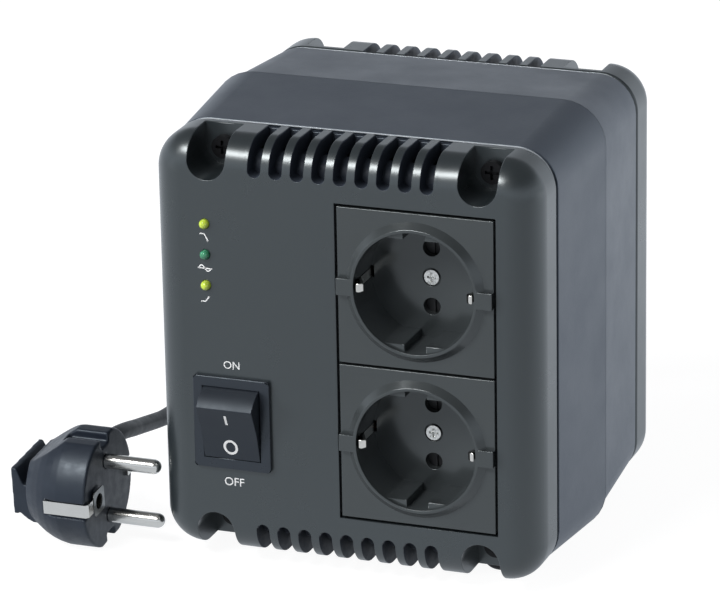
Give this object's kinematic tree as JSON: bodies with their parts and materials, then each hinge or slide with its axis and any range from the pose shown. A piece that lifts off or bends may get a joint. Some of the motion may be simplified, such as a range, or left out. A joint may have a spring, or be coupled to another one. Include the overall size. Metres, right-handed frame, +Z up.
{
  "type": "voltage stabilizer",
  "caption": "Moulded mains voltage stabilizer with earthed sockets, a rocker switch, indicator lamps, an overload breaker and a corded angled plug.",
  "frame": {"origin": "centre of the footprint of the casing with its switch and breaker, on the plane under the feet", "axes": "+X to the right seen from the front, +Y to the back, +Z up; the sockets and the switch face -Y"},
  "size_m": [0.1791, 0.2603, 0.1452],
  "materials": {
    "bezel_gloss": "smooth, half gloss",
    "casing_satin": "fine grained satin",
    "socket_insert": "satin",
    "inner_plastic": "moulded, matt",
    "switch_gloss": "polished",
    "plug_plastic": "satin",
    "cord_sheath": "smooth flexible sheath",
    "rubber": "matt",
    "steel": "zinc plated",
    "spring_steel": "bright strip",
    "plated_blade": "tin plated",
    "nickel": "bright nickel",
    "brass": "plain",
    "copper": "enamelled copper wire",
    "core_iron": "varnished sheets",
    "can": "sleeved can",
    "board": "lacquered",
    "relay_case": "smooth",
    "button_plastic": "smooth",
    "lamp_yellow": "clear tinted",
    "lamp_green": "clear tinted"
  },
  "bodies": {
    "case": {"front_bezel": "bezel_gloss", "front_grilles": "bezel_gloss", "rear_bezel": "bezel_gloss", "rear_grilles": "bezel_gloss", "front_housing": "casing_satin", "rear_housing": "casing_satin", "front_screws": "steel", "rear_screws": "steel", "rubber_feet": "rubber", "socket_cover_upper": "socket_insert", "socket_cover_lower": "socket_insert", "socket_base_upper": "inner_plastic", "socket_base_lower": "inner_plastic", "earth_clip_upper": "spring_steel", "earth_clip_lower": "spring_steel", "pin_contacts": "brass", "socket_screws": "steel", "socket_retainer": "inner_plastic", "retainer_screws": "steel", "switch_housing": "switch_gloss", "switch_terminals": "plated_blade", "led_low": "lamp_yellow", "led_normal": "lamp_green", "led_high": "lamp_yellow", "led_board": "board", "led_board_screws": "steel", "control_board": "board", "relays": "relay_case", "capacitors": "can", "board_screws": "steel", "transformer_core": "core_iron", "transformer_bobbin": "inner_plastic", "transformer_winding": "copper", "transformer_strap": "spring_steel", "transformer_screws": "steel", "breaker_body": "inner_plastic", "breaker_nut": "steel", "breaker_terminals": "plated_blade", "cord_gland": "cord_sheath", "cord_lead": "cord_sheath", "cord_coil": "cord_sheath", "cord_tie": "inner_plastic", "cord_tail": "cord_sheath", "plug_body": "plug_plastic", "plug_pins": "nickel", "plug_earth_clips": "nickel"},
    "rocker": {"switch_rocker": "switch_gloss"},
    "shutter_upper": {"socket_shutter_upper": "inner_plastic"},
    "shutter_lower": {"socket_shutter_lower": "inner_plastic"},
    "reset_button": {"breaker_button": "button_plastic"}
  },
  "joints": [
    {"name": "rocker_pivot", "type": "hinge", "parent": "case", "child": "rocker", "pos_m": [-0.037, -0.0588, 0.0496], "axis": [-1, 0, 0], "range_deg": [0, 38.6]},
    {"name": "shutter_upper_turn", "type": "hinge", "parent": "case", "child": "shutter_upper", "pos_m": [0.024, -0.0417, 0.09905], "axis": [0, 1, 0], "range_deg": [0, 42], "stiffness_Nm_per_rad": 0.0004},
    {"name": "shutter_lower_turn", "type": "hinge", "parent": "case", "child": "shutter_lower", "pos_m": [0.024, -0.0417, 0.04795], "axis": [0, 1, 0], "range_deg": [0, 42], "stiffness_Nm_per_rad": 0.0004},
    {"name": "reset_press", "type": "slide", "parent": "case", "child": "reset_button", "axis": [0, -1, 0], "range_m": [0, 0.003], "stiffness_N_per_m": 400, "springref_m": -0.001}
  ]
}
